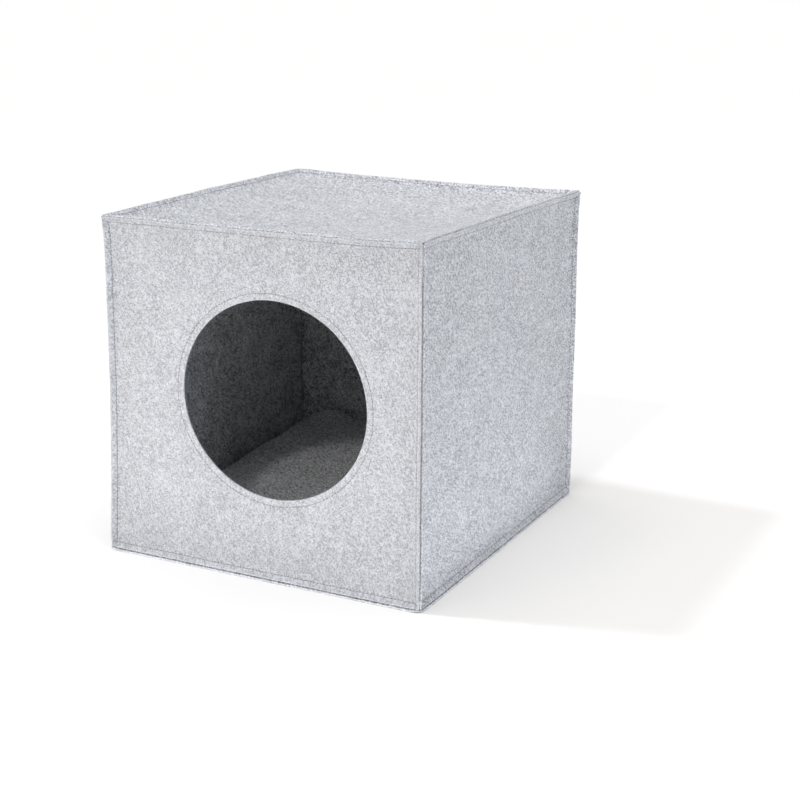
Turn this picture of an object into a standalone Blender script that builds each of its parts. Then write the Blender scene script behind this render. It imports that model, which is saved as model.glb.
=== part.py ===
# Felt cat cave: six felt panels sewn wrong sides together, so that every seam stands out as a narrow
# flange, a round entrance in the front panel and one filled cushion on the floor inside.
# Metres, +Z up, the front looks along -Y. The origin is the centre of the footprint, on the surface.

import math

import bmesh
import bpy

# Size over the tips of the flanges, at mid height before the cover settles
WIDTH = 0.328
DEPTH = 0.366
HEIGHT = 0.3205
HALF = (WIDTH / 2, DEPTH / 2, HEIGHT / 2)

# The felt and its seams
FELT = 0.0022                  # thickness of the sheet
CONTACT_GAP = 0.0003           # left between pieces that touch
ALLOWANCE = 0.0075             # sewn edge beyond the fold, standing out at 45 degrees
FOLD_SOFTNESS = 0.0040         # how wide the fold is rounded
EAR_ROUNDING = 0.0030          # how far from its tips the corner of an allowance starts to turn in
EAR_TURN = 0.55
TIP_CLEARANCE = 0.00026        # keeps the thick corners of the allowances inside the outermost planes
PRESSED_LOWER = 0.0010         # the bottom's middle, pressed onto the surface, lies below its edges

# Worked out from them: in a plane square to a seam, both layers follow its 45 degree line
LAYER_STEP = (FELT + CONTACT_GAP) / math.sqrt(2)     # of a middle surface, along an axis, from that line
TIP = -FELT / 2 / math.sqrt(2) - TIP_CLEARANCE       # of a middle surface's edge, from the outermost plane
INSET = ALLOWANCE / math.sqrt(2) - TIP               # of a flat panel's middle surface from that plane

# Entrance, a little above and to the right of the middle of the front
HOLE_X = 0.0128
HOLE_Z = 0.168
HOLE_WIDTH = 0.188
HOLE_HEIGHT = 0.182
HOLE_SEGMENTS = 72

# How the edges and corners have settled
EDGE_BOW = {                   # of the upright edges at mid height, along x and y
    ("left", "front"): (0.0030, 0.0014),
    ("right", "front"): (-0.0009, 0.0014),
    ("right", "back"): (0.0003, -0.0011),
    ("left", "back"): (-0.0012, -0.0028),
}
SPLAY = (0.0015, 0.0011)       # each side stands out at the bottom, and in at the top
TOP_SEAMS = (                  # how much higher each top seam runs at its start, middle and end
    {"side": "right", "towards": "back", "lift": (0.0050, 0.0040, 0.0018)},
    {"side": "left", "towards": "back", "lift": (-0.0006, 0.0020, 0.0009)},
    {"side": "front", "towards": "right", "lift": (0.0, 0.0008, 0.0)},
    {"side": "back", "towards": "right", "lift": (0.0, -0.0012, 0.0)},
)
CREST_POWER = 6                # keeps these lifts near their seams
LEAN = 0.0050                  # of the back left upright, outward at its top
EARS = (
    {"corner": (-1, -1, 1), "reach": 0.0014},
    {"corner": (1, 1, 1), "reach": 0.0014},
    {"corner": (-1, 1, 1), "reach": 0.0006},
)
EAR_SPREAD = 0.013

# Panels: the axis they face, which way, how deep they hang or bow in, and the run it takes from a seam
PANELS = (
    {"name": "front_panel", "axis": 1, "side": -1, "sag": 0.0022, "run": 0.070, "wave": 0.0006},
    {"name": "back_panel", "axis": 1, "side": 1, "sag": 0.0040, "run": 0.070, "wave": 0.0009},
    {"name": "left_panel", "axis": 0, "side": -1, "sag": 0.0036, "run": 0.070, "wave": 0.0008},
    {"name": "right_panel", "axis": 0, "side": 1, "sag": 0.0030, "run": 0.070, "wave": 0.0009},
    {"name": "top_panel", "axis": 2, "side": 1, "sag": 0.0190, "run": 0.052, "wave": 0.0010},
    {"name": "bottom_panel", "axis": 2, "side": -1, "sag": 0.0, "run": 0.045, "wave": 0.0},
)
HIP_SOFTNESS = 0.030           # width of the soft creases that run in from a hanging panel's corners
WAVES_ACROSS = 0.75            # slow waves in half a panel, along each way of it
WAVE_SHIFT = 0.3

# Where a panel's mesh lines run, as distances inward from each fold: two lie out on the allowance
EDGE_LINES = (-0.0020, -0.0005, 0.0010, 0.0035, 0.0140, 0.0340, 0.0640, 0.1050)

# Cushion: two felt faces filled and sewn together round their rim
CUSHION = {
    "centre_x": 0.0008, "half_width": 0.1530, "half_depth": 0.1720, "drawn_in": 0.0025,
    "rim_height": 0.0230, "top_height": 0.0480, "crown": 0.0037,
    "back_rise": 0.0135,       # it is pushed up against the back
    "hump": 0.0075, "hump_x": -0.101, "hump_y": 0.138, "hump_spread": 0.026,
    "under_run": 0.054,        # from the rim to where the underside lies flat
    "squareness": 10, "firmness": 0.37, "steps": 18,
}

FELT_GREY = (0.640, 0.650, 0.680, 1.0)
CUSHION_GREY = (0.600, 0.610, 0.640, 1.0)


def clear_scene():
    for old in list(bpy.data.objects):
        bpy.data.objects.remove(old, do_unlink=True)


def felt_material(name, colour):
    material = bpy.data.materials.new(name)
    material.use_nodes = True
    shader = material.node_tree.nodes["Principled BSDF"]
    shader.inputs["Base Color"].default_value = colour
    shader.inputs["Roughness"].default_value = 0.95
    shader.inputs["Metallic"].default_value = 0.0
    return material


def smooth_max(a, b, softness):
    overlap = max(softness - abs(a - b), 0.0)
    return max(a, b) + overlap * overlap / (4 * softness)


def smooth_min(a, b, softness):
    return -smooth_max(-a, -b, softness)


def smooth_step(value):
    value = min(max(value, 0.0), 1.0)
    return value * value * (3 - 2 * value)


def quarter_arc(value):
    return math.sqrt(1 - (1 - min(value, 1.0)) ** 2)


# Places of a panel's mesh lines along one of its ways, from tip to tip
def mesh_lines(half):
    fold = half - INSET - LAYER_STEP
    tip = half + TIP - LAYER_STEP
    side = [tip] + [fold - inward for inward in EDGE_LINES]
    return [-place for place in side] + [0.0] + side[::-1]


# How far a panel is moved inward, from the distances to its nearest fold along its two directions
def sag_depth(panel, inward_a, inward_b, a, b, half_a, half_b):
    inside = max(smooth_min(inward_a, inward_b, HIP_SOFTNESS), 0.0)
    if panel["name"] == "bottom_panel":
        # What lies on it presses its middle flat onto the surface
        return -(INSET - FELT / 2 + PRESSED_LOWER) * smooth_step(inside / panel["run"])
    eased = 1 - math.exp(-inside / panel["run"])
    wave = math.sin(math.pi * WAVES_ACROSS * (a / half_a + WAVE_SHIFT))
    wave *= math.cos(math.pi * WAVES_ACROSS * b / half_b)
    return panel["sag"] * eased + panel["wave"] * wave * eased


# The whole cover has settled: its upright edges bow in, its top seams run unevenly and some corners are ears
def settle(x, y, z):
    bow = 4 * z * (HEIGHT - z) / HEIGHT ** 2
    low = 1 - 2 * z / HEIGHT
    new_x = x * (1 + SPLAY[0] * low / HALF[0])
    new_y = y * (1 + SPLAY[1] * low / HALF[1])
    near = {
        "right": 0.5 + x / WIDTH, "left": 0.5 - x / WIDTH,
        "back": 0.5 + y / DEPTH, "front": 0.5 - y / DEPTH,
    }
    for (side, end), (bow_x, bow_y) in EDGE_BOW.items():
        new_x += bow * bow_x * near[side] * near[end]
        new_y += bow * bow_y * near[side] * near[end]
    new_z = z + PRESSED_LOWER
    crest = (z / HEIGHT) ** CREST_POWER
    for seam in TOP_SEAMS:
        along = near[seam["towards"]]
        start, middle, end = seam["lift"]
        lift = start * (1 - along) * (1 - 2 * along) + end * along * (2 * along - 1)
        lift += 4 * middle * along * (1 - along)
        new_z += lift * crest * near[seam["side"]] ** CREST_POWER
    new_x -= LEAN * crest * (near["left"] * near["back"]) ** 2
    for ear in EARS:
        corner = ear["corner"]
        away = math.dist((x, y, z), (corner[0] * HALF[0], corner[1] * HALF[1], HEIGHT))
        push = ear["reach"] * math.exp(-(away / EAR_SPREAD) ** 2)
        new_x += corner[0] * push
        new_y += corner[1] * push
        new_z += corner[2] * push / 2
    return new_x, new_y, new_z


# One point of a panel's middle surface, at a and b along the panel's two directions
def panel_point(panel, a, b):
    axis = panel["axis"]
    axis_a, axis_b = (axis + 1) % 3, (axis + 2) % 3
    beyond_a = abs(a) - HALF[axis_a]
    beyond_b = abs(b) - HALF[axis_b]
    tip = TIP - LAYER_STEP
    turn = EAR_TURN * max(min(beyond_a, beyond_b) - (tip - EAR_ROUNDING), 0.0)
    beyond_a -= turn
    beyond_b -= turn

    out = smooth_max(-INSET, beyond_a + LAYER_STEP, FOLD_SOFTNESS)
    out = smooth_max(out, beyond_b + LAYER_STEP, FOLD_SOFTNESS)
    fold = -INSET - LAYER_STEP
    out -= sag_depth(panel, fold - beyond_a, fold - beyond_b, a, b, HALF[axis_a], HALF[axis_b])

    place = [0.0, 0.0, 0.0]
    place[axis] = panel["side"] * (HALF[axis] + out)
    place[axis_a] = math.copysign(HALF[axis_a] + beyond_a, a)
    place[axis_b] = math.copysign(HALF[axis_b] + beyond_b, b)
    return settle(place[0], place[1], place[2] + HALF[2])


def add_object(name, points, faces, material):
    mesh = bpy.data.meshes.new(name)
    mesh.from_pydata(points, [], faces)
    mesh.materials.append(material)
    mesh.shade_smooth()
    item = bpy.data.objects.new(name, mesh)
    bpy.context.collection.objects.link(item)
    return item


def make_panel(panel, material):
    axis = panel["axis"]
    lines_a = mesh_lines(HALF[(axis + 1) % 3])
    lines_b = mesh_lines(HALF[(axis + 2) % 3])
    points = [panel_point(panel, a, b) for a in lines_a for b in lines_b]
    row = len(lines_b)
    faces = []
    for i in range(len(lines_a) - 1):
        for j in range(row - 1):
            face = (i * row + j, (i + 1) * row + j, (i + 1) * row + j + 1, i * row + j + 1)
            faces.append(face if panel["side"] > 0 else face[::-1])
    item = add_object(panel["name"], points, faces, material)

    thicken = item.modifiers.new("felt thickness", "SOLIDIFY")
    thicken.thickness = FELT
    thicken.offset = 0.0
    thicken.use_even_offset = True
    return item


# The hole is punched through the finished sheet
def cut_entrance(front):
    mesh = bpy.data.meshes.new("hole_cutter")
    shape = bmesh.new()
    bmesh.ops.create_cone(shape, cap_ends=True, segments=HOLE_SEGMENTS, radius1=0.5, radius2=0.5, depth=1.0)
    for corner in shape.verts:
        across, up, along = corner.co
        corner.co = (HOLE_X + across * HOLE_WIDTH, -HALF[1] - along * 4 * INSET, HOLE_Z + up * HOLE_HEIGHT)
    bmesh.ops.recalc_face_normals(shape, faces=shape.faces)
    shape.to_mesh(mesh)
    shape.free()
    cutter = bpy.data.objects.new("hole_cutter", mesh)
    cutter.display_type = "WIRE"
    cutter.hide_render = True
    bpy.context.collection.objects.link(cutter)

    cut = front.modifiers.new("entrance", "BOOLEAN")
    cut.operation = "DIFFERENCE"
    cut.object = cutter


# Height of the cushion's faces at s and t, which run from -1 to 1 between its rims
def cushion_point(s, t, upper):
    c = CUSHION
    x = s * (c["half_width"] - c["drawn_in"] * (1 - t * t))
    y = t * (c["half_depth"] - c["drawn_in"] * (1 - s * s))
    if upper:
        n = c["squareness"]
        fullness = max((1 - s ** n) * (1 - t ** n), 0.0) ** c["firmness"]
        away = math.hypot(x - c["hump_x"], y - c["hump_y"]) / c["hump_spread"]
        height = c["top_height"] + c["back_rise"] * y / c["half_depth"] + c["hump"] * math.exp(-away * away)
        height += c["crown"] * (1 - s * s) * (1 - t * t)
    else:
        # The underside curves down from the rim to where it lies flat
        height = FELT + CONTACT_GAP
        fullness = quarter_arc(c["half_width"] * (1 - abs(s)) / c["under_run"])
        fullness *= quarter_arc(c["half_depth"] * (1 - abs(t)) / c["under_run"])
    return x + c["centre_x"], y, c["rim_height"] + (height - c["rim_height"]) * fullness


def make_cushion(material):
    steps = CUSHION["steps"]
    ticks = [math.sin(math.pi / 2 * (2 * i / steps - 1)) for i in range(steps + 1)]
    row = steps + 1
    points = []
    index = {}
    for upper in (True, False):
        for i, s in enumerate(ticks):
            for j, t in enumerate(ticks):
                on_rim = i in (0, steps) or j in (0, steps)
                if on_rim and not upper:
                    index[upper, i, j] = index[True, i, j]
                    continue
                index[upper, i, j] = len(points)
                points.append(cushion_point(s, t, upper))
    faces = []
    for i in range(row - 1):
        for j in range(row - 1):
            around = ((i, j), (i + 1, j), (i + 1, j + 1), (i, j + 1))
            faces.append([index[(True, *corner)] for corner in around])
            faces.append([index[(False, *corner)] for corner in around[::-1]])
    return add_object("cushion", points, faces, material)


def main():
    clear_scene()
    shell = felt_material("grey felt", FELT_GREY)
    filled = felt_material("cushion felt", CUSHION_GREY)
    panels = {panel["name"]: make_panel(panel, shell) for panel in PANELS}
    cut_entrance(panels["front_panel"])
    make_cushion(filled)


main()
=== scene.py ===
# Felt cat cave, dressed: fine felt sheets with sewing, raw edges and loose fibres, and a filled cushion.
# Metres, +Z up, the entrance faces -Y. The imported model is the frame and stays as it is.
import math

import bpy
import numpy as np
from mathutils import Matrix, Vector, noise


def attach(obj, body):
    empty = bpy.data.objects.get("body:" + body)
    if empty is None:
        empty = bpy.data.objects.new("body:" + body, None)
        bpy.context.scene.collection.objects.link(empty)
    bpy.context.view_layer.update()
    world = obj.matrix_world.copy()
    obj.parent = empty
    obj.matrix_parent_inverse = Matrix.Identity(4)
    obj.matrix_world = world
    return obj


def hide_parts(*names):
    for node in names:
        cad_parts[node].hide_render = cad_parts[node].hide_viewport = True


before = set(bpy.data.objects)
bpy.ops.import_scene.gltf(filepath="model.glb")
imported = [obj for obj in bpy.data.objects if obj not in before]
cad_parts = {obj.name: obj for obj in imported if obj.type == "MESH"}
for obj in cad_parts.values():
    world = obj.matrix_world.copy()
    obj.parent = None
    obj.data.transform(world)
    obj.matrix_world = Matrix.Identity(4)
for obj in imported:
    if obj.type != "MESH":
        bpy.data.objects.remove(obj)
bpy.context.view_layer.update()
print("frame:", sorted(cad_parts))


# ---- camera first, at the photograph's angle
cameraView = {
    "azimuth": 26.31, "elevation": 15.75, "roll": 0.77,      # degrees
    "distance": 1.546, "target": (0.0516, 0.0, 0.1318),
    "focalPixels": 1589.0, "imagePixels": 800.0, "sensor": 36.0, "nearest": 0.05,
}


def makeCamera(c):
    azimuth, elevation, roll = (math.radians(c[key]) for key in ("azimuth", "elevation", "roll"))
    level = math.cos(elevation)
    back = Vector((math.sin(azimuth) * level, -math.cos(azimuth) * level, math.sin(elevation)))
    right = Vector((math.cos(azimuth), math.sin(azimuth), 0.0))
    up = back.cross(right)
    rolledRight = math.cos(roll) * right + math.sin(roll) * up
    rolledUp = math.cos(roll) * up - math.sin(roll) * right
    data = bpy.data.cameras.new("camera")
    data.sensor_width = c["sensor"]
    data.lens = c["focalPixels"] / c["imagePixels"] * c["sensor"]
    data.clip_start = c["nearest"]
    camera = bpy.data.objects.new("camera", data)
    turn = Matrix((rolledRight, rolledUp, back)).transposed().to_4x4()
    camera.matrix_world = Matrix.Translation(Vector(c["target"]) + back * c["distance"]) @ turn
    bpy.context.collection.objects.link(camera)
    bpy.context.scene.camera = camera


makeCamera(cameraView)


# ---- node helpers
def newNode(tree, kind, inputs=None, **settings):
    node = tree.nodes.new(kind)
    for key, value in settings.items():
        setattr(node, key, value)
    for key, value in (inputs or {}).items():
        if isinstance(value, bpy.types.NodeSocket):
            tree.links.new(value, node.inputs[key])
        else:
            node.inputs[key].default_value = value
    return node


def mathNode(tree, operation, first, second):
    return newNode(tree, "ShaderNodeMath", {0: first, 1: second}, operation=operation).outputs[0]


def remap(tree, value, low, high, toLow=0.0, toHigh=1.0):
    places = {"Value": value, "From Min": low, "From Max": high, "To Min": toLow, "To Max": toHigh}
    return newNode(tree, "ShaderNodeMapRange", places).outputs["Result"]


def mixColours(tree, factor, first, second, blend="MIX"):
    node = newNode(tree, "ShaderNodeMix", {"Factor": factor}, data_type="RGBA", blend_type=blend)
    for socket, value in ((node.inputs[6], first), (node.inputs[7], second)):
        if isinstance(value, bpy.types.NodeSocket):
            tree.links.new(value, socket)
        else:
            socket.default_value = value
    return node.outputs[2]


# ---- heather felt: pressed fibres of two greys, a group that every felt finish uses
heather = {                       # sizes in metres; a fibre or fleck has its turn, length and width
    "fibres": ((-0.52, 0.0034, 0.00072), (0.55, 0.0022, 0.00066), (-1.60, 0.0022, 0.00066)),
    "streaks": (1.29, 1.67), "fleck": (-0.7, 0.0034, 0.0009), "fleckFrom": (0.66, 0.74),
    "softBlotch": 0.034, "softReach": 0.5, "smallBlotch": 0.0080, "smallReach": 0.6, "blotchFrom": (0.3, 0.7),
    "grain": 0.00075, "grainFrom": (0.25, 0.75), "grainShare": 0.50, "grainHeight": 0.5,
}
noiseRoughness = 0.55


def fibreLayer(tree, vector, turn, length, width, detail=2.0):
    placed = newNode(tree, "ShaderNodeMapping", {
        "Vector": vector, "Rotation": (0.0, 0.0, turn), "Scale": (length, width, width),
    }, vector_type="TEXTURE")
    return newNode(tree, "ShaderNodeTexNoise", {
        "Vector": placed.outputs[0], "Scale": 1.0, "Detail": detail, "Roughness": noiseRoughness,
    }).outputs["Fac"]


def roundNoise(tree, vector, size, detail=2.0):
    return newNode(tree, "ShaderNodeTexNoise", {
        "Vector": vector, "Scale": 1.0 / size, "Detail": detail, "Roughness": noiseRoughness,
    }).outputs["Fac"]


def buildHeather(h):
    tree = bpy.data.node_groups.new("heather fibres", "ShaderNodeTree")
    sockets = (
        ("Vector", "INPUT", "NodeSocketVector", None),
        ("Dark", "INPUT", "NodeSocketColor", (0.35, 0.36, 0.38, 1)),
        ("Light", "INPUT", "NodeSocketColor", (0.75, 0.76, 0.79, 1)),
        ("Fleck", "INPUT", "NodeSocketColor", (0.2, 0.2, 0.21, 1)),
        ("Blotch", "INPUT", "NodeSocketFloat", 0.5), ("Flecks", "INPUT", "NodeSocketFloat", 0.5),
        ("Color", "OUTPUT", "NodeSocketColor", None), ("Height", "OUTPUT", "NodeSocketFloat", None),
    )
    for name, way, kind, value in sockets:
        socket = tree.interface.new_socket(name=name, in_out=way, socket_type=kind)
        if value is not None:
            socket.default_value = value
    given = newNode(tree, "NodeGroupInput").outputs
    layers = [fibreLayer(tree, given["Vector"], *fibre) for fibre in h["fibres"]]
    woven = mathNode(tree, "ADD", mathNode(tree, "ADD", layers[0], layers[1]), layers[2])
    streaks = remap(tree, woven, *h["streaks"])
    soft, small = (
        remap(tree, roundNoise(tree, given["Vector"], h[size]), *h["blotchFrom"], -h[reach], h[reach])
        for size, reach in (("softBlotch", "softReach"), ("smallBlotch", "smallReach")))
    blotches = mathNode(tree, "MULTIPLY", mathNode(tree, "ADD", soft, small), given["Blotch"])
    grain = roundNoise(tree, given["Vector"], h["grain"], 1.0)
    share = mathNode(tree, "ADD", streaks, blotches)
    grains = remap(tree, grain, *h["grainFrom"], -h["grainShare"], h["grainShare"])
    share = mathNode(tree, "ADD", share, grains)
    share = newNode(tree, "ShaderNodeClamp", {"Value": share}).outputs[0]
    fleck = remap(tree, fibreLayer(tree, given["Vector"], *h["fleck"], 1.0), *h["fleckFrom"])
    fleck = mathNode(tree, "MULTIPLY", fleck, given["Flecks"])
    colour = mixColours(tree, share, given["Dark"], given["Light"])
    colour = mixColours(tree, fleck, colour, given["Fleck"])
    height = mathNode(tree, "ADD", streaks, mathNode(tree, "MULTIPLY", grain, h["grainHeight"]))
    newNode(tree, "NodeGroupOutput", {"Color": colour, "Height": height})
    return tree


heatherGroup = buildHeather(heather)

frontFelt = {
    "dark": (0.262, 0.266, 0.285, 1), "light": (0.550, 0.556, 0.582, 1), "fleck": (0.20, 0.205, 0.215, 1),
    "blotch": 0.16, "flecks": 0.55, "bump": 0.5, "bumpDepth": 0.0005,
    "roughness": 0.96, "specular": 0.2, "sheen": 0.15, "sheenRoughness": 0.6,
}
coverFelt = dict(frontFelt, dark=(0.185, 0.190, 0.208, 1), light=(0.632, 0.640, 0.668, 1), blotch=0.13)
topFelt = dict(coverFelt, dark=(0.163, 0.168, 0.186, 1), light=(0.674, 0.682, 0.710, 1))
# The sheets' inner faces get a paler copy of the felt with more contrast: painted light for the shaded
# inside.
paintedLightInsideFelt = dict(frontFelt, dark=(0.100, 0.106, 0.118, 1), light=(0.83, 0.842, 0.87, 1),
                  blotch=0.28, bumpDepth=0.0012)
cushionFelt = dict(paintedLightInsideFelt, dark=(0.030, 0.032, 0.037, 1), light=(0.93, 0.94, 0.96, 1),
                   fleck=(0.03, 0.032, 0.036, 1), blotch=0.12, flecks=0.9, bump=0.6, bumpDepth=0.0018)


def newMaterial(name, roughness):
    material = bpy.data.materials.new(name)
    material.use_nodes = True
    shader = material.node_tree.nodes["Principled BSDF"]
    shader.inputs["Roughness"].default_value = roughness
    return material, material.node_tree, shader


def feltMaterial(name, f):
    material, tree, shader = newMaterial(name, f["roughness"])
    cloth = newNode(tree, "ShaderNodeAttribute", attribute_name="cloth")
    fibres = newNode(tree, "ShaderNodeGroup", {}, node_tree=heatherGroup)
    tree.links.new(cloth.outputs["Vector"], fibres.inputs["Vector"])
    for key in ("dark", "light", "fleck", "blotch", "flecks"):
        fibres.inputs[key.capitalize()].default_value = f[key]
    # Painted light and shade, kept on the mesh, multiplies the felt's colour.
    paintedLightAndShade = newNode(tree, "ShaderNodeAttribute", attribute_name="paintedLightAndShade")
    colour = mixColours(tree, 1.0, fibres.outputs["Color"], paintedLightAndShade.outputs["Color"], "MULTIPLY")
    bump = newNode(tree, "ShaderNodeBump", {
        "Strength": f["bump"], "Distance": f["bumpDepth"], "Height": fibres.outputs["Height"],
    })
    tree.links.new(colour, shader.inputs["Base Color"])
    tree.links.new(bump.outputs["Normal"], shader.inputs["Normal"])
    shader.inputs["Specular IOR Level"].default_value = f["specular"]
    shader.inputs["Sheen Weight"].default_value = f["sheen"]
    shader.inputs["Sheen Roughness"].default_value = f["sheenRoughness"]
    return material


# The thread's colour where it dips into the felt is painted shade of the needle holes.
thread = {
    "light": (0.40, 0.405, 0.425, 1), "holeShade": (0.07, 0.071, 0.078, 1), "roughness": 0.8,
    "ply": 0.0011, "plyFrom": (0.3, 0.7), "plyTone": (0.85, 1.1),
}


def threadMaterial(name, t):
    material, tree, shader = newMaterial(name, t["roughness"])
    holeShade = newNode(tree, "ShaderNodeAttribute", attribute_name="holeShade")
    place = newNode(tree, "ShaderNodeTexCoord").outputs["Object"]
    ply = remap(tree, roundNoise(tree, place, t["ply"]), *t["plyFrom"], *t["plyTone"])
    plyColour = newNode(tree, "ShaderNodeCombineColor", {"Red": ply, "Green": ply, "Blue": ply}).outputs[0]
    colour = mixColours(tree, holeShade.outputs["Fac"], t["light"], t["holeShade"])
    tree.links.new(mixColours(tree, 1.0, colour, plyColour, "MULTIPLY"), shader.inputs["Base Color"])
    return material


materials = {
    "front": feltMaterial("front heather felt", frontFelt),
    "cover": feltMaterial("heather felt", coverFelt),
    "top": feltMaterial("top heather felt", topFelt),
    "inside": feltMaterial("heather felt, back of the sheet, painted lighter", paintedLightInsideFelt),
    "cushion": feltMaterial("cushion heather felt", cushionFelt),
    "thread": threadMaterial("sewing thread", thread),
}
print("materials:", len(materials))


# ---- the felt cover: where its sheets lie, as the frame's solids do
cover = {
    "size": (0.328, 0.366, 0.3205),                  # over the tips of the seams
    "felt": 0.0022, "layerGap": 0.0003, "allowance": 0.0075,
    "foldSoftness": 0.0040, "earRounding": 0.0020, "earTurn": 0.30,
    "tipClearance": 0.00026, "lift": 0.0010, "liftRun": 0.060,       # its lower edges aren't lifted
    "edgeBow": (("left", "front", 0.0030, 0.0014), ("right", "front", -0.0009, 0.0014),
                ("right", "back", 0.0003, -0.0011), ("left", "back", -0.0012, -0.0028)),
    "splay": (0.0015, 0.0011),
    "topSeams": (("right", "back", 0.0050, 0.0040, 0.0018), ("left", "back", -0.0006, 0.0020, 0.0009),
                 ("front", "right", 0.0, 0.0008, 0.0), ("back", "right", 0.0, -0.0012, 0.0)),
    "crestPower": 6, "lean": 0.0050,
    "ears": ((-1, -1, 0.0014), (1, 1, 0.0014), (-1, 1, 0.0006)), "earSpread": 0.013,
    "cornerPull": 0.50, "cornerSpread": 0.0060, "cornerSqueeze": 0.42,    # by the last stitches there
    "edgeOut": 0.0028, "edgePressed": 0.30,          # the bottom's cut edge lies out, pressed thin,
    "roundCorner": 0.0080,                           # and is cut round at its corners
    "hipSoftness": 0.030, "wavesAcross": 0.75, "waveShift": 0.3,
    "slowWander": (0.070, 0.0006), "quickWander": (0.018, 0.00022),   # length and height of the unevenness,
    "wanderFrom": 0.02,                              # which grows from the surface up to this height
    "wanderSeed": 7,                                 # without a seed the noise is drawn anew in each run
    "relief": ((0.020, 0.00013), (0.006, 0.00008)),                   # of the felt's face
}
panels = (
    {"name": "front_panel", "axis": 1, "side": -1, "sag": 0.0022, "run": 0.070, "wave": 0.0006},
    {"name": "back_panel", "axis": 1, "side": 1, "sag": 0.0040, "run": 0.070, "wave": 0.0009},
    {"name": "left_panel", "axis": 0, "side": -1, "sag": 0.0036, "run": 0.070, "wave": 0.0008},
    {"name": "right_panel", "axis": 0, "side": 1, "sag": 0.0030, "run": 0.070, "wave": 0.0009},
    {"name": "top_panel", "axis": 2, "side": 1, "sag": 0.0190, "run": 0.052, "wave": 0.0010},
    {"name": "bottom_panel", "axis": 2, "side": -1, "sag": 0.0, "run": 0.045, "wave": 0.0},
)
half = tuple(side / 2 for side in cover["size"])
layerStep = (cover["felt"] + cover["layerGap"]) / math.sqrt(2)
tip = -cover["felt"] / 2 / math.sqrt(2) - cover["tipClearance"]
inset = cover["allowance"] / math.sqrt(2) - tip
noise.seed_set(cover["wanderSeed"])


def smoothMax(a, b, softness):
    overlap = np.maximum(softness - np.abs(a - b), 0.0)
    return np.maximum(a, b) + overlap ** 2 / (4 * softness)


def sagDepth(panel, inwardA, inwardB, a, b, halfA, halfB):
    inside = np.maximum(-smoothMax(-inwardA, -inwardB, cover["hipSoftness"]), 0.0)
    if panel["name"] == "bottom_panel":
        step = np.clip(inside / panel["run"], 0.0, 1.0)
        return -(inset - cover["felt"] / 2) * step ** 2 * (3 - 2 * step)
    eased = 1 - np.exp(-inside / panel["run"])
    wave = np.sin(math.pi * cover["wavesAcross"] * (a / halfA + cover["waveShift"]))
    wave *= np.cos(math.pi * cover["wavesAcross"] * b / halfB)
    return (panel["sag"] + panel["wave"] * wave) * eased


def settle(x, y, z):
    width, depth, height = cover["size"]
    bow = 4 * z * (height - z) / height ** 2
    low = 1 - 2 * z / height
    new = [x * (1 + cover["splay"][0] * low / half[0]), y * (1 + cover["splay"][1] * low / half[1]),
           z + cover["lift"] * np.clip(z / cover["liftRun"], 0.0, 1.0)]
    near = {"right": 0.5 + x / width, "left": 0.5 - x / width,
            "back": 0.5 + y / depth, "front": 0.5 - y / depth}
    for side, end, bowX, bowY in cover["edgeBow"]:
        new[0] = new[0] + bow * bowX * near[side] * near[end]
        new[1] = new[1] + bow * bowY * near[side] * near[end]
    crest = (z / height) ** cover["crestPower"]
    for side, towards, start, middle, end in cover["topSeams"]:
        along = near[towards]
        rise = start * (1 - along) * (1 - 2 * along) + end * along * (2 * along - 1)
        rise = rise + 4 * middle * along * (1 - along)
        new[2] = new[2] + rise * crest * near[side] ** cover["crestPower"]
    new[0] = new[0] - cover["lean"] * crest * (near["left"] * near["back"]) ** 2
    for earX, earY, reach in cover["ears"]:
        away = np.sqrt((x - earX * half[0]) ** 2 + (y - earY * half[1]) ** 2 + (z - height) ** 2)
        push = reach * np.exp(-(away / cover["earSpread"]) ** 2)
        new[0] = new[0] + earX * push
        new[1] = new[1] + earY * push
        new[2] = new[2] + push / 2
    return np.stack(new, axis=-1)


def noiseVectors(points, size):
    return np.array([noise.noise_vector(Vector(p) / size) for p in points.tolist()])


def noiseValues(points, size):
    return np.array([noise.noise(Vector(p) / size) for p in points.tolist()])


# One field moves all sheets alike, so the layers of a seam wander together and stay apart
def wander(points):
    lifted = np.clip(points[:, 2:3] / cover["wanderFrom"], 0.0, 1.0)
    moved = np.zeros_like(points)
    for size, reach in (cover["slowWander"], cover["quickWander"]):
        moved += noiseVectors(points, size) * reach
    return points + moved * lifted


# How near each point is to one of the eight corners, and the way square to that corner's diagonal
def cornerNearness(points):
    signs = np.where(points - (0, 0, half[2]) < 0, -1.0, 1.0)
    away = points - (0, 0, half[2]) - signs * (np.array(half) + tip - layerStep / 2)
    diagonal = signs / math.sqrt(3)
    square = away - diagonal * np.einsum("ij,ij->i", away, diagonal)[:, None]
    return np.exp(-(np.linalg.norm(away, axis=1) / cover["cornerSpread"]) ** 2), square


# Share that is kept of two ways past the start of a round corner
def keptInCorner(awayA, awayB):
    return np.maximum(awayA, awayB) / np.maximum(np.hypot(awayA, awayB), 1e-9)


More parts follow.
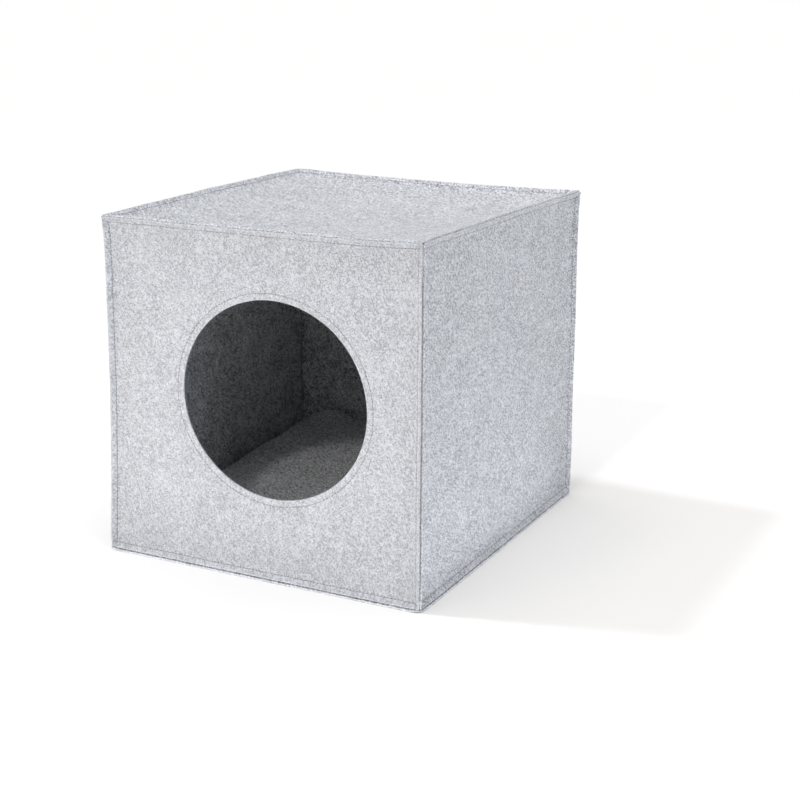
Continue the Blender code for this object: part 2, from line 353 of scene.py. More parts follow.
# Middle surface of a panel before the cover settles, at a and b along its two ways
def sewnPoints(panel, a, b):
    axis = panel["axis"]
    axisA, axisB = (axis + 1) % 3, (axis + 2) % 3
    beyondA = np.abs(a) - half[axisA]
    beyondB = np.abs(b) - half[axisB]
    earFrom = tip - layerStep - cover["earRounding"]
    turn = cover["earTurn"] * np.maximum(np.minimum(beyondA, beyondB) - earFrom, 0.0)
    beyondA = beyondA - turn
    beyondB = beyondB - turn
    out = smoothMax(smoothMax(-inset, beyondA + layerStep, cover["foldSoftness"]),
                    beyondB + layerStep, cover["foldSoftness"])
    if panel["name"] == "bottom_panel":
        pressed = cover["felt"] * (1 - cover["edgePressed"]) / 2
        out = -smoothMax(-out, np.full_like(out, pressed), pressed)
        start = tip - layerStep + cover["edgeOut"] - cover["roundCorner"]
        awayA, awayB = np.maximum(beyondA - start, 0.0), np.maximum(beyondB - start, 0.0)
        kept = keptInCorner(awayA, awayB)
        beyondA = beyondA - awayA * (1 - kept)
        beyondB = beyondB - awayB * (1 - kept)
    fold = -inset - layerStep
    out = out - sagDepth(panel, fold - beyondA, fold - beyondB, a, b, half[axisA], half[axisB])
    place = [None, None, None]
    place[axis] = panel["side"] * (half[axis] + out)
    place[axisA] = np.copysign(half[axisA] + beyondA, a)
    place[axisB] = np.copysign(half[axisB] + beyondB, b)
    return np.stack([place[0], place[1], place[2] + half[2]], axis=-1)


def panelPoints(panel, a, b):
    points = sewnPoints(panel, a, b)
    near, square = cornerNearness(points)
    points = points - square * (near * cover["cornerPull"])[:, None]
    return wander(settle(*points.T))


# The felt is squeezed where the corners are drawn together, and at the bottom's cut edge
def feltThickness(panel, a, b):
    near, _ = cornerNearness(sewnPoints(panel, a, b))
    thickness = cover["felt"] * (1 - cover["cornerSqueeze"] * near)
    if panel["name"] == "bottom_panel":
        beyond = np.maximum(np.abs(a) - half[0], np.abs(b) - half[1]) - tip + 2 * layerStep
        thickness = thickness * (1 - cover["edgePressed"] * np.clip(beyond / layerStep, 0.0, 1.0))
    return thickness


# ---- mesh of a sheet
sheetMesh = {
    "edgeLines": (0.0003, 0.0010, 0.0018, 0.0026, 0.0032, 0.0036, 0.0039, 0.00405, 0.0042, 0.0045, 0.0049,
                  0.0054, 0.0060, 0.0068, 0.0078, 0.0092, 0.0112, 0.0140, 0.0172),     # inward from a tip
    "outLines": (0.08, 0.4, 0.7),                    # shares of how far the bottom's edge lies out
    "pitch": 0.0040,
    "rimBulge": 0.00050, "rim": ((0.40, 0.60), (0.14, 1.0), (-0.12, 0.90), (-0.36, 0.40)),   # of a cut edge
    "gapShadeTone": (1.0, 1.0, 0.92, 0.62), "gapShadeRise": (0.010, 0.030),      # painted shade in an upright seam's gap between its layers, fading in over these heights
    "lowEdgeLift": 1.60,                                 # the lowest cut edges are painted paler, painted light that lifts the shade where they face down to the floor
    "stitchLine": 0.00405,                           # inward from a tip, 5.7 mm along the allowance
    "ditchDepth": 0.00045, "ditchWidth": 0.00036, "ditchEnd": 0.0008,
    "ditchShadeTone": 0.16, "cutPaleAndHighlight": 1.12,              # painted shade in the ditch; paler where the felt is cut, partly the cut fibres' own colour and partly a painted highlight
}
entrance = {
    "x": 0.0128, "z": 0.168, "halfWidth": 0.094, "halfHeight": 0.091,
    "rings": (0.0003, 0.0009, 0.0018, 0.0030, 0.0042, 0.0050, 0.0055, 0.0060, 0.0065, 0.0070, 0.0080, 0.0100),
    "fillRows": 5, "margin": 0.016, "closings": 4,
    "stitchRing": 0.0060, "ditchDepth": 0.00028, "ditchWidth": 0.00040,
}


def gridLines(panel, halfSide):
    tipAt = halfSide + tip - layerStep
    near = sheetMesh["edgeLines"]
    if panel["name"] == "bottom_panel":
        near = tuple(share * cover["edgeOut"] - cover["edgeOut"] for share in sheetMesh["outLines"]) + near
    inner = tipAt - near[-1]
    middle = np.linspace(-inner, inner, round(2 * inner / sheetMesh["pitch"]) + 1)
    return np.concatenate([[-tipAt + d for d in near[:-1]], middle, [tipAt - d for d in near[-2::-1]]])


# Panel coordinates that bring the front sheet to given places across and up the front
def frontAcrossUp(panel, x, z):
    a, b = z - half[2], x.copy()
    for _ in range(entrance["closings"]):
        reached = panelPoints(panel, a, b)
        a = a - (reached[:, 2] - z)
        b = b - (reached[:, 0] - x)
    return a, b


# Rings round the entrance and their ditch, from its cut edge out to the grid points of outer
def entranceRings(panel, a, b, outer):
    e = entrance
    angle = np.arctan2((a[outer] + half[2] - e["z"]) / e["halfHeight"], (b[outer] - e["x"]) / e["halfWidth"])
    ringA, ringB, ringDitch = [], [], []
    for away in e["rings"]:
        atA, atB = frontAcrossUp(panel, e["x"] + (e["halfWidth"] + away) * np.cos(angle),
                                 e["z"] + (e["halfHeight"] + away) * np.sin(angle))
        ringA.append(atA)
        ringB.append(atB)
        depth = math.exp(-((away - e["stitchRing"]) / e["ditchWidth"]) ** 2)
        ringDitch.append(np.full(len(outer), depth * e["ditchDepth"] / sheetMesh["ditchDepth"]))
    lastA, lastB = ringA[-1], ringB[-1]
    for row in range(1, e["fillRows"]):
        share = row / e["fillRows"]
        ringA.append(lastA * (1 - share) + a[outer] * share)
        ringB.append(lastB * (1 - share) + b[outer] * share)
        ringDitch.append(np.zeros(len(outer)))
    return ringA, ringB, ringDitch


# Grid of a panel: its coordinates, faces, cut edges as (edge point, next point inward), and ditches
def panelGrid(panel):
    axis = panel["axis"]
    sideA, sideB = half[(axis + 1) % 3], half[(axis + 2) % 3]
    linesA, linesB = gridLines(panel, sideA), gridLines(panel, sideB)
    countA, countB = len(linesA), len(linesB)
    a, b = (grid.ravel() for grid in np.meshgrid(linesA, linesB, indexing="ij"))
    index = np.arange(countA * countB).reshape(countA, countB)
    border = [(0, j) for j in range(countB)] + [(i, countB - 1) for i in range(1, countA)]
    border += [(countA - 1, j) for j in range(countB - 2, -1, -1)]
    border += [(i, 0) for i in range(countA - 2, 0, -1)]
    inward = [(min(max(i, 1), countA - 2), min(max(j, 1), countB - 2)) for i, j in border]
    edges = [[(index[place], index[within]) for place, within in zip(border, inward)]]
    line = sheetMesh["stitchLine"]
    offA = np.abs(sideA + tip - layerStep - np.abs(a) - line)
    offB = np.abs(sideB + tip - layerStep - np.abs(b) - line)
    ditch = np.exp(-(np.minimum(offA, offB) / sheetMesh["ditchWidth"]) ** 2)
    ditchEnd = tip - layerStep - line + sheetMesh["ditchEnd"]
    outside = np.maximum(np.abs(a) - sideA, np.abs(b) - sideB) > ditchEnd
    ditch = np.where(outside & (np.minimum(sideA - np.abs(a), sideB - np.abs(b)) < 0), 0.0, ditch)
    keep = np.ones((countA - 1, countB - 1), dtype=bool)
    faces = []
    if panel["name"] == "front_panel":
        e = entrance
        lowA = np.searchsorted(linesA, e["z"] - e["halfHeight"] - e["margin"] - half[2])
        highA = np.searchsorted(linesA, e["z"] + e["halfHeight"] + e["margin"] - half[2])
        lowB = np.searchsorted(linesB, e["x"] - e["halfWidth"] - e["margin"])
        highB = np.searchsorted(linesB, e["x"] + e["halfWidth"] + e["margin"])
        keep[lowA:highA, lowB:highB] = False
        loop = [(lowA, j) for j in range(lowB, highB)] + [(i, highB) for i in range(lowA, highA)]
        loop += [(highA, j) for j in range(highB, lowB, -1)] + [(i, lowB) for i in range(highA, lowA, -1)]
        outer = np.array([index[i, j] for i, j in loop])
        ringA, ringB, ringDitch = entranceRings(panel, a, b, outer)
        start, count = len(a), len(outer)
        rows = [start + np.arange(count) + count * row for row in range(len(ringA))] + [outer]
        a = np.concatenate([a] + ringA)
        b = np.concatenate([b] + ringB)
        ditch = np.concatenate([ditch] + ringDitch)
        for first, second in zip(rows[:-1], rows[1:]):
            faces.append(np.stack([first, np.roll(first, -1), np.roll(second, -1), second], axis=1))
        edges.append(list(zip(rows[0], rows[1])))
    i, j = np.nonzero(keep)
    faces.append(np.stack([index[i, j], index[i + 1, j], index[i + 1, j + 1], index[i, j + 1]], axis=1))
    used = np.unique(np.concatenate(faces))
    renumber = np.full(len(a), -1)
    renumber[used] = np.arange(len(used))
    edges = [[(renumber[p], renumber[q]) for p, q in edge] for edge in edges]
    return a[used], b[used], renumber[np.concatenate(faces)], edges, ditch[used]


def faceNormals(points, faces):
    corner = points[faces]
    return np.cross(corner[:, 2] - corner[:, 0], corner[:, 3] - corner[:, 1])


def pointNormals(points, faces):
    normals = np.zeros_like(points)
    crossed = faceNormals(points, faces)
    for k in range(4):
        np.add.at(normals, faces[:, k], crossed)
    return normals / np.linalg.norm(normals, axis=1, keepdims=True)


def turnedTowards(points, faces, directions):
    wrong = np.einsum("ij,ij->i", faceNormals(points, faces), directions) < 0
    return np.where(wrong[:, None], faces[:, ::-1], faces)


def newObject(name, points, faces, finishes, attributes=(), slots=None):
    mesh = bpy.data.meshes.new(name)
    mesh.from_pydata(points.tolist(), [], faces)
    for finish in finishes:
        mesh.materials.append(finish)
    if slots is not None:
        mesh.polygons.foreach_set("material_index", slots)
    for key, kind, field, values in attributes:
        layer = mesh.attributes.new(key, kind, "POINT")
        layer.data.foreach_set(field, np.ascontiguousarray(values, dtype=np.float32).ravel())
    mesh.shade_smooth()
    mesh.update()
    item = bpy.data.objects.new(name, mesh)
    bpy.context.collection.objects.link(item)
    return item


# Gives a middle surface its thickness and rounded cut edges
def makeSheet(panel, outside, inside):
    a, b, faces, edges, ditch = panelGrid(panel)
    middle = panelPoints(panel, a, b)
    outward = np.zeros((len(faces), 3))
    outward[:, panel["axis"]] = panel["side"]
    faces = turnedTowards(middle, faces, outward)
    normals = pointNormals(middle, faces)
    felt = feltThickness(panel, a, b)
    relief = sum(noiseValues(middle, size) * reach for size, reach in cover["relief"])
    count = len(middle)
    outer = middle + normals * (felt / 2 + relief - ditch * sheetMesh["ditchDepth"])[:, None]
    inner = middle - normals * felt[:, None] / 2
    cloth = np.stack([a, b, np.zeros(count)], axis=1)
    points = [outer, inner]
    clothPlaces = [cloth + (0, 0, cover["felt"] / 2), cloth - (0, 0, cover["felt"] / 2)]
    # Painted shade darkens the outer face along the stitch ditch.
    paintedLightAndShades = [1 - sheetMesh["ditchShadeTone"] * ditch, np.ones(count)]
    allFaces = [faces, faces[:, ::-1] + count]
    start = 2 * count
    cutEdges = []
    for number, edge in enumerate(edges):
        rim, inward = (np.array(column) for column in zip(*edge))
        # In an upright seam's gap, painted shade darkens the inner rows of the cut edge and the inner face
        # beside it, fading in with the height above the floor and below the top.
        low, high = sheetMesh["gapShadeRise"]
        fromEnds = np.minimum(middle[rim, 2], cover["size"][2] - middle[rim, 2])
        shadedGap = np.clip((fromEnds - low) / (high - low), 0.0, 1.0) if number == 0 else np.zeros(len(rim))
        # The cut edge's rows are paler, partly the cut fibres' own colour and partly a painted highlight; the
        # lowest ones are painted paler still, painted light over their shade.
        paleAndPaintedLight = sheetMesh["cutPaleAndHighlight"] + (sheetMesh["lowEdgeLift"] - sheetMesh["cutPaleAndHighlight"]) * (middle[rim, 2] < low)
        away = middle[rim] - middle[inward]
        away -= normals[rim] * np.einsum("ij,ij->i", away, normals[rim])[:, None]
        away /= np.linalg.norm(away, axis=1, keepdims=True)
        cutEdges.append((middle[rim], away, normals[rim] * felt[rim][:, None]))
        clothAway = cloth[rim] - cloth[inward]
        clothAway /= np.linalg.norm(clothAway, axis=1, keepdims=True)
        rows = [rim]
        paintedLightAndShades[1][rim] = 1 - shadedGap * (1 - sheetMesh["gapShadeTone"][-1])
        for (across, share), gapShadeTone in zip(sheetMesh["rim"], sheetMesh["gapShadeTone"]):
            bulge = share * sheetMesh["rimBulge"]
            points.append(middle[rim] + normals[rim] * across * felt[rim][:, None] + away * bulge)
            clothPlaces.append(cloth[rim] + clothAway * bulge + (0, 0, across * cover["felt"]))
            paintedLightAndShades.append(paleAndPaintedLight * (1 - shadedGap * (1 - gapShadeTone)))
            rows.append(start + np.arange(len(rim)))
            start += len(rim)
        rows.append(rim + count)
        for first, second in zip(rows[:-1], rows[1:]):
            strip = np.stack([first, np.roll(first, -1), np.roll(second, -1), second], axis=1)
            allFaces.append(turnedTowards(np.concatenate(points), strip, away))
    points = np.concatenate(points)
    points[:, 2] = np.maximum(points[:, 2], 0.0)     # flat where it rests on the surface
    paintedLightAndShade = np.repeat(np.concatenate(paintedLightAndShades)[:, None], 3, axis=1)
    allFaces = np.concatenate(allFaces)
    isInside = np.zeros(len(allFaces), dtype=np.int32)
    isInside[len(faces):2 * len(faces)] = 1
    sheet = newObject(panel["name"] + "_felt", points, allFaces.tolist(), (outside, inside), (
        ("cloth", "FLOAT_VECTOR", "vector", np.concatenate(clothPlaces)),
        ("paintedLightAndShade", "FLOAT_VECTOR", "vector", paintedLightAndShade),
    ), isInside)
    return sheet, cutEdges


# ---- sewing: each stitch is a short loop of thread that dips into the felt at both ends
sewing = {
    "pitch": 0.00335, "radius": 0.00030, "sides": 5, "jitter": 0.00014, "seed": 11,
    "along": (0.0, 0.13, 0.27, 0.5, 0.73, 0.87, 1.0),
    "rise": (-0.00006, 0.00004, 0.00010, 0.00018, 0.00010, 0.00004, -0.00006),
    # Share of painted needle-hole shade along each stitch, dark at both ends.
    "holeShade": (1.0, 1.0, 0.2, 0.0, 0.2, 1.0, 1.0),
}


# Places on a panel's outer face, less the ditch, with the way out of it
def outerFace(panel, a, b, ditchDepth):
    step = 0.0002
    middle = panelPoints(panel, a, b)
    alongA = panelPoints(panel, a + step, b) - panelPoints(panel, a - step, b)
    alongB = panelPoints(panel, a, b + step) - panelPoints(panel, a, b - step)
    normals = np.cross(alongA, alongB) * panel["side"]
    normals /= np.linalg.norm(normals, axis=1, keepdims=True)
    return middle + normals * (feltThickness(panel, a, b) / 2 - ditchDepth)[:, None], normals


def stitchLines(panel):
    axis = panel["axis"]
    line = [half[(axis + k) % 3] + tip - layerStep - sheetMesh["stitchLine"] for k in (1, 2)]
    depth = sheetMesh["ditchDepth"]
    for along, across in ((0, 1), (1, 0)):
        places = np.linspace(-line[along], line[along], round(2 * line[along] / sewing["pitch"]) + 1)
        for end in (-1, 1):
            ways = [None, None]
            ways[along], ways[across] = places, np.full(len(places), end * line[across])
            yield outerFace(panel, ways[0], ways[1], depth)
    if panel["name"] == "front_panel":
        e = entrance
        radii = e["halfWidth"] + e["stitchRing"], e["halfHeight"] + e["stitchRing"]
        count = round(math.pi * sum(radii) / sewing["pitch"])
        angle = np.linspace(0.0, 2 * math.pi, count + 1)
        a, b = frontAcrossUp(panel, e["x"] + radii[0] * np.cos(angle), e["z"] + radii[1] * np.sin(angle))
        yield outerFace(panel, a, b, e["ditchDepth"])


def makeSewing(panel, material):
    rng = np.random.default_rng(sewing["seed"] + len(panel["name"]) + panel["axis"])
    sides, rings = sewing["sides"], len(sewing["along"])
    points, faces, holeShade = [], [], []
    turn = np.arange(sides) / sides * 2 * math.pi
    start = 0
    for places, normals in stitchLines(panel):
        needle = places + rng.uniform(-1, 1, places.shape) * sewing["jitter"]
        begin, end, out = needle[:-1], needle[1:], normals[:-1]
        along = (end - begin) / np.linalg.norm(end - begin, axis=1, keepdims=True)
        beside = np.cross(out, along)
        for share, rise, dark in zip(sewing["along"], sewing["rise"], sewing["holeShade"]):
            centre = begin + (end - begin) * share + out * rise
            ring = centre[:, None] + sewing["radius"] * (
                beside[:, None] * np.cos(turn)[None, :, None] + out[:, None] * np.sin(turn)[None, :, None])
            points.append(ring)
            holeShade.append(np.full(ring.shape[:2], dark))
        count = len(begin)
        loop = np.concatenate(points[-rings:], axis=1).reshape(-1, 3)
        points[-rings:] = [loop]
        holeShade[-rings:] = [np.concatenate(holeShade[-rings:], axis=1).ravel()]
        corner = np.arange(sides)
        for stitch in range(count):
            first = start + stitch * rings * sides
            for ring in range(rings - 1):
                low = first + ring * sides
                for k in range(sides):
                    after = (k + 1) % sides
                    faces.append((low + k, low + after, low + sides + after, low + sides + k))
            faces.append(tuple((first + corner[::-1]).tolist()))
            faces.append(tuple((first + (rings - 1) * sides + corner).tolist()))
        start += count * rings * sides
    return newObject(panel["name"] + "_thread", np.concatenate(points), faces, (material,), (
        ("holeShade", "FLOAT", "value", np.concatenate(holeShade)),
    ))


# ---- loose fibres that stand out of the cut edges and lie on the faces
fuzz = {
    "seed": 5, "rootRadius": 0.000055, "sides": 3,
    "edgePitch": 0.0007, "edgeLength": (0.0006, 0.0022), "edgeLean": 0.7, "edgeLevel": 0.45,
    "onFace": 1500, "faceLength": (0.0016, 0.0046), "faceLift": (0.04, 0.16),
    "along": (0.0, 0.5, 1.0), "taper": (1.0, 0.85, 0.3), "curl": 0.35,
    "light": (0.62, 0.63, 0.65, 1), "dark": (0.30, 0.305, 0.32, 1), "roughness": 0.9,
    "patch": 0.0016, "patchFrom": (0.4, 0.6),
}


def fibreMaterial(name, f):
    material, tree, shader = newMaterial(name, f["roughness"])
    place = newNode(tree, "ShaderNodeTexCoord").outputs["Object"]
    share = remap(tree, roundNoise(tree, place, f["patch"]), *f["patchFrom"])
    tree.links.new(mixColours(tree, share, f["dark"], f["light"]), shader.inputs["Base Color"])
    return material


def edgeFibres(cutEdges, rng):
    roots, ways = [], []
    for places, away, across in cutEdges:
        following = np.roll(places, -1, axis=0)
        lengths = np.linalg.norm(following - places, axis=1)
        count = int(lengths.sum() / fuzz["edgePitch"])
        chosen = rng.choice(len(places), count, p=lengths / lengths.sum())
        share = rng.uniform(0, 1, (count, 1))
        level = rng.uniform(-fuzz["edgeLevel"], fuzz["edgeLevel"], (count, 1))
        roots.append(places[chosen] * (1 - share) + following[chosen] * share + across[chosen] * level)
        lean = rng.uniform(-1, 1, (count, 3)) * fuzz["edgeLean"]
        ways.append(away[chosen] + lean)
    return np.concatenate(roots), np.concatenate(ways)


def faceFibres(panel, rng):
    sideA, sideB = (half[(panel["axis"] + k) % 3] - inset for k in (1, 2))
    a, b = rng.uniform(-sideA, sideA, fuzz["onFace"]), rng.uniform(-sideB, sideB, fuzz["onFace"])
    if panel["name"] == "front_panel":
        e = entrance
        clear = 1 + e["margin"] / e["halfWidth"]
        fromHole = np.hypot((a + half[2] - e["z"]) / e["halfHeight"], (b - e["x"]) / e["halfWidth"])
        a, b = a[fromHole > clear], b[fromHole > clear]
    roots, normals = outerFace(panel, a, b, 0.0)
    ways = rng.normal(size=roots.shape)
    ways -= normals * np.einsum("ij,ij->i", ways, normals)[:, None]
    ways /= np.linalg.norm(ways, axis=1, keepdims=True)
    return roots, ways + normals * rng.uniform(*fuzz["faceLift"], (len(a), 1))


def makeFuzz(panel, cutEdges, material):
    rng = np.random.default_rng(fuzz["seed"] + panel["axis"] * 2 + panel["side"])
    edgeRoots, edgeWays = edgeFibres(cutEdges, rng)
    faceRoots, faceWays = faceFibres(panel, rng)
    edgeLengths = rng.uniform(*fuzz["edgeLength"], len(edgeRoots))
    faceLengths = rng.uniform(*fuzz["faceLength"], len(faceRoots))
    lengths = np.concatenate([edgeLengths, faceLengths])
    roots = np.concatenate([edgeRoots, faceRoots])
    ways = np.concatenate([edgeWays, faceWays])
    ways /= np.linalg.norm(ways, axis=1, keepdims=True)
    beside = np.cross(ways, rng.normal(size=ways.shape))
    beside /= np.linalg.norm(beside, axis=1, keepdims=True)
    third = np.cross(ways, beside)
    curl = rng.uniform(-1, 1, (len(roots), 1)) * fuzz["curl"]
    turn = np.arange(fuzz["sides"]) / fuzz["sides"] * 2 * math.pi
    rings = []
    for along, taper in zip(fuzz["along"], fuzz["taper"]):
        centre = roots + lengths[:, None] * (ways * along + beside * curl * along ** 2)
        spread = beside[:, None] * np.cos(turn)[None, :, None] + third[:, None] * np.sin(turn)[None, :, None]
        rings.append(centre[:, None] + spread * fuzz["rootRadius"] * taper)
    points = np.concatenate(rings, axis=1)           # fibre, then ring and side, then place
    perFibre = points.shape[1]
    sides, corner = fuzz["sides"], np.arange(fuzz["sides"])
    quads = [(low + k, low + (k + 1) % sides, low + sides + (k + 1) % sides, low + sides + k)
             for low in range(0, perFibre - sides, sides) for k in range(sides)]
    caps = [tuple(corner[::-1]), tuple(perFibre - sides + corner)]
    first = np.arange(len(roots))[:, None, None] * perFibre
    faces = (first + np.array(quads)).reshape(-1, 4).tolist()
    faces += (first + np.array(caps)).reshape(-1, sides).tolist()
    points = points.reshape(-1, 3)
    points[:, 2] = np.maximum(points[:, 2], 0.0)
    return newObject(panel["name"] + "_fuzz", points, faces, (material,))


materials["fibre"] = fibreMaterial("loose fibres", fuzz)


def triangles(piece):
    return sum(len(polygon.vertices) - 2 for polygon in piece.data.polygons)


flatSizes = {
    "front_panel": (0.327, 0.319), "back_panel": (0.327, 0.319), "left_panel": (0.365, 0.319),
    "right_panel": (0.365, 0.319), "top_panel": (0.327, 0.365), "bottom_panel": (0.335, 0.373),
}
for panel in panels:
    outside = materials[{"front_panel": "front", "top_panel": "top"}.get(panel["name"], "cover")]
    sheet, cutEdges = makeSheet(panel, outside, materials["inside"])
    stitches = makeSewing(panel, materials["thread"])
    fibres = makeFuzz(panel, cutEdges, materials["fibre"])
    for piece in (sheet, stitches, fibres):
        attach(piece, "root")
    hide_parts(panel["name"])
    cutArea = flatSizes[panel["name"]][0] * flatSizes[panel["name"]][1]
    if panel["name"] == "front_panel":
        cutArea -= math.pi * entrance["halfWidth"] * entrance["halfHeight"]
    print("panel:", panel["name"], [triangles(piece) for piece in (sheet, stitches, fibres)])


# ---- cushion: sewn round its rim and filled
cushion = {
    "centreX": 0.0008, "halfWidth": 0.1530, "halfDepth": 0.1720, "drawnIn": 0.0025,
    "rimHeight": 0.0230, "topHeight": 0.0480, "crown": 0.0037, "backRise": 0.0135,
    "hump": 0.0075, "humpX": -0.101, "humpY": 0.138, "humpSpread": 0.026,
    "underRun": 0.054, "squareness": 10, "firmness": 0.37, "steps": 90,
    "roundCorner": 0.034, "smaller": 0.0014,
    "voxel": 0.005, "pressure": 4.0, "frames": 20, "mostMove": 0.006,
    "seamWidth": 0.0024, "seamDepth": 0.0016, "seamPower": 4,
}


def quarterArc(value):
    return np.sqrt(1 - (1 - np.minimum(value, 1.0)) ** 2)


def cushionPoints(c, s, t, upper):
    x = s * (c["halfWidth"] - c["drawnIn"] * (1 - t * t))
    y = t * (c["halfDepth"] - c["drawnIn"] * (1 - s * s))
    if upper:
        fullness = np.maximum((1 - s ** c["squareness"]) * (1 - t ** c["squareness"]), 0.0) ** c["firmness"]
        away = np.hypot(x - c["humpX"], y - c["humpY"]) / c["humpSpread"]
        height = c["topHeight"] + c["backRise"] * y / c["halfDepth"] + c["hump"] * np.exp(-away * away)
        height = height + c["crown"] * (1 - s * s) * (1 - t * t)
    else:
        height = cover["felt"] + cover["layerGap"]
        fullness = quarterArc(c["halfWidth"] * (1 - np.abs(s)) / c["underRun"])
        fullness = fullness * quarterArc(c["halfDepth"] * (1 - np.abs(t)) / c["underRun"])
    awayX = np.maximum(np.abs(x) - c["halfWidth"] + c["roundCorner"], 0.0)
    awayY = np.maximum(np.abs(y) - c["halfDepth"] + c["roundCorner"], 0.0)
    kept = keptInCorner(awayX, awayY)
    x = x - np.copysign(awayX * (1 - kept), x)
    y = y - np.copysign(awayY * (1 - kept), y)
    return np.stack([x + c["centreX"], y, c["rimHeight"] + (height - c["rimHeight"]) * fullness], axis=-1)


# Blows the cushion up a little as cloth, and keeps it in its place between the walls and on the floor sheet
def puff(pad, c):
    bpy.ops.object.select_all(action="DESELECT")
    bpy.context.view_layer.objects.active = pad
    pad.select_set(True)
    remesh = pad.modifiers.new("even mesh", "REMESH")
    remesh.mode = "VOXEL"
    remesh.voxel_size = c["voxel"]
    bpy.ops.object.modifier_apply(modifier=remesh.name)
    before = np.array([v.co for v in pad.data.vertices])
    cloth = pad.modifiers.new("filled felt", "CLOTH")
    cloth.settings.use_pressure = True
    cloth.settings.uniform_pressure_force = c["pressure"]
    cloth.settings.effector_weights.gravity = 0.0
    for frameNumber in range(1, c["frames"] + 1):
        bpy.context.scene.frame_set(frameNumber)
    bpy.ops.object.modifier_apply(modifier=cloth.name)
    bpy.context.scene.frame_set(1)
    after = np.array([v.co for v in pad.data.vertices])
    moved = after - before
    reach = np.linalg.norm(moved, axis=1, keepdims=True)
    after = before + moved * np.minimum(1.0, c["mostMove"] / np.maximum(reach, 1e-9))
    groove = np.exp(-((after[:, 2] - c["rimHeight"]) / c["seamWidth"]) ** 2) * c["seamDepth"]
    for axis, side, centre in ((0, c["halfWidth"], c["centreX"]), (1, c["halfDepth"], 0.0)):
        edge = np.clip((np.abs(after[:, axis] - centre) - side + c["underRun"]) / c["underRun"], 0.0, 1.0)
        edge = edge ** c["seamPower"]
        after[:, axis] = centre + np.clip(after[:, axis] - centre, -side, side) * (1 - groove * edge / side)
    after[:, 2] = np.maximum(after[:, 2], cover["felt"] + cover["layerGap"])
    pad.data.vertices.foreach_set("co", after.astype(np.float32).ravel())
    fine = pad.modifiers.new("finer", "SUBSURF")
    fine.levels = fine.render_levels = 1
    bpy.ops.object.modifier_apply(modifier=fine.name)
    pad.data.shade_smooth()
    return pad


def makeCushion(c, material):
    ticks = np.sin(np.pi / 2 * np.linspace(-1, 1, c["steps"] + 1))
    s, t = (grid.ravel() for grid in np.meshgrid(ticks, ticks, indexing="ij"))
    count = c["steps"] + 1
    upper = cushionPoints(c, s, t, True)
    lower = cushionPoints(c, s, t, False)
    index = np.arange(count * count).reshape(count, count)
    below = index + count * count
    onRim = (np.maximum(np.abs(s), np.abs(t)) > 1 - 1e-9).reshape(count, count)
    below[onRim] = index[onRim]
    faces = []
    for grid, flip in ((index, False), (below, True)):
        quads = np.stack([grid[:-1, :-1], grid[1:, :-1], grid[1:, 1:], grid[:-1, 1:]], axis=-1).reshape(-1, 4)
        faces.append(quads[:, ::-1] if flip else quads)
    points = np.concatenate([upper, lower])
    faces = np.concatenate(faces)
    used = np.unique(faces)
    renumber = np.full(len(points), -1)
    renumber[used] = np.arange(len(used))
    middle = np.array((c["centreX"], 0.0, c["rimHeight"]))
    size = np.array((c["halfWidth"], c["halfDepth"], c["rimHeight"]))
    points = middle + (points[used] - middle) * (1 - c["smaller"] / size)
    pad = newObject("cushion_felt", points, renumber[faces].tolist(), (material,))
    pad = puff(pad, c)
    places = np.array([v.co for v in pad.data.vertices])
    for key, values in (("cloth", places), ("paintedLightAndShade", np.ones_like(places))):
        layer = pad.data.attributes.new(key, "FLOAT_VECTOR", "POINT")
        layer.data.foreach_set("vector", values.astype(np.float32).ravel())
    return pad


pad = makeCushion(cushion, materials["cushion"])
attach(pad, "root")
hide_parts("cushion")
print("cushion:", triangles(pad), "triangles")


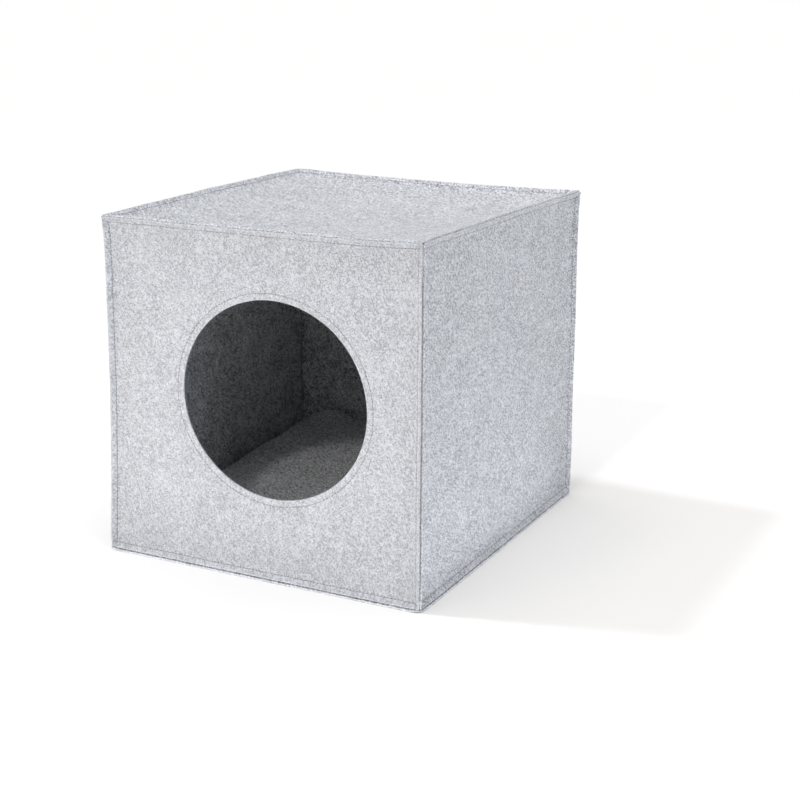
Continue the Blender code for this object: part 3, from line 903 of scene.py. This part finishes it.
# ---- plain white floor and soft studio light
studio = {
    "floorSize": 40.0, "floorColour": (0.873, 0.860, 0.842, 1),
    "sky": (1.0, 1.0, 1.0), "skyStrength": 0.785,
    "suns": {                     # direction, strength, softness in degrees, colour
        "key light": ((-0.56, -0.130, 0.80), 0.80, 6.0, (0.96, 0.99, 1.08)),
        "front light": ((-0.010, -0.785, 0.62), 0.56, 4.0, (1.03, 1.0, 0.98)),
        "low front light": ((-0.45, -0.88, 0.10), 0.55, 16.0, (1.0, 1.02, 1.0)),
        "right light": ((0.85, -0.35, 0.25), 0.52, 30.0, (0.86, 1.0, 1.15)),
    },
    "cards": {                    # soft reflectors, unseen: place, aim, size, power, colour
        "low left card": ((-0.55, -0.85, 0.06), (-0.10, -0.18, 0.05), 0.4, 1.0, (1.1, 1.0, 0.9)),
        "top card": ((0.0, 0.0, 1.5), (0.0, 0.0, 0.3), 0.8, 3.9, (1.0, 1.0, 1.0)),
        "right floor card": ((0.36, -0.05, 0.004), (0.36, -0.05, 1.0), 0.36, 0.45, (0.98, 1.0, 1.07)),
        "front floor card": ((-0.05, -0.48, 0.004), (-0.05, -0.48, 1.0), 0.45, 0.78, (1.0, 1.0, 1.0)),
    },
}


def makeFloor(s):
    bpy.ops.object.select_all(action="DESELECT")
    bpy.ops.mesh.primitive_plane_add(size=s["floorSize"])
    floor = bpy.context.object
    floor.name = "floor"
    material, _, shader = newMaterial("white floor", 1.0)
    shader.inputs["Base Color"].default_value = s["floorColour"]
    shader.inputs["Specular IOR Level"].default_value = 0.0
    floor.data.materials.append(material)


def makeSun(name, towards, strength, softness, colour):
    data = bpy.data.lights.new(name, "SUN")
    data.energy = strength
    data.angle = math.radians(softness)
    data.color = colour
    light = bpy.data.objects.new(name, data)
    light.rotation_mode = "QUATERNION"
    light.rotation_quaternion = Vector(towards).to_track_quat("Z", "Y")
    bpy.context.collection.objects.link(light)


def makeSky(s):
    world = bpy.data.worlds.new("white studio")
    world.use_nodes = True
    tree = world.node_tree
    seen = newNode(tree, "ShaderNodeLightPath").outputs["Is Camera Ray"]
    lit = newNode(tree, "ShaderNodeBackground", {"Color": (*s["sky"], 1), "Strength": s["skyStrength"]})
    white = newNode(tree, "ShaderNodeBackground", {"Color": (1, 1, 1, 1), "Strength": 1.0})
    mixed = newNode(tree, "ShaderNodeMixShader", {0: seen, 1: lit.outputs[0], 2: white.outputs[0]})
    tree.links.new(mixed.outputs[0], tree.nodes["World Output"].inputs["Surface"])
    bpy.context.scene.world = world


def makeCard(name, place, aim, size, power, colour):
    data = bpy.data.lights.new(name, "AREA")
    data.size = size
    data.energy = power
    data.color = colour
    light = bpy.data.objects.new(name, data)
    turn = (Vector(place) - Vector(aim)).to_track_quat("Z", "Y").to_matrix().to_4x4()
    light.matrix_world = Matrix.Translation(place) @ turn
    light.visible_camera = False
    bpy.context.collection.objects.link(light)


makeFloor(studio)
for name, sun in studio["suns"].items():
    makeSun(name, *sun)
for name, card in studio["cards"].items():
    makeCard(name, *card)
makeSky(studio)
bpy.context.scene.view_settings.view_transform = "Standard"
bpy.context.scene.view_settings.look = "None"
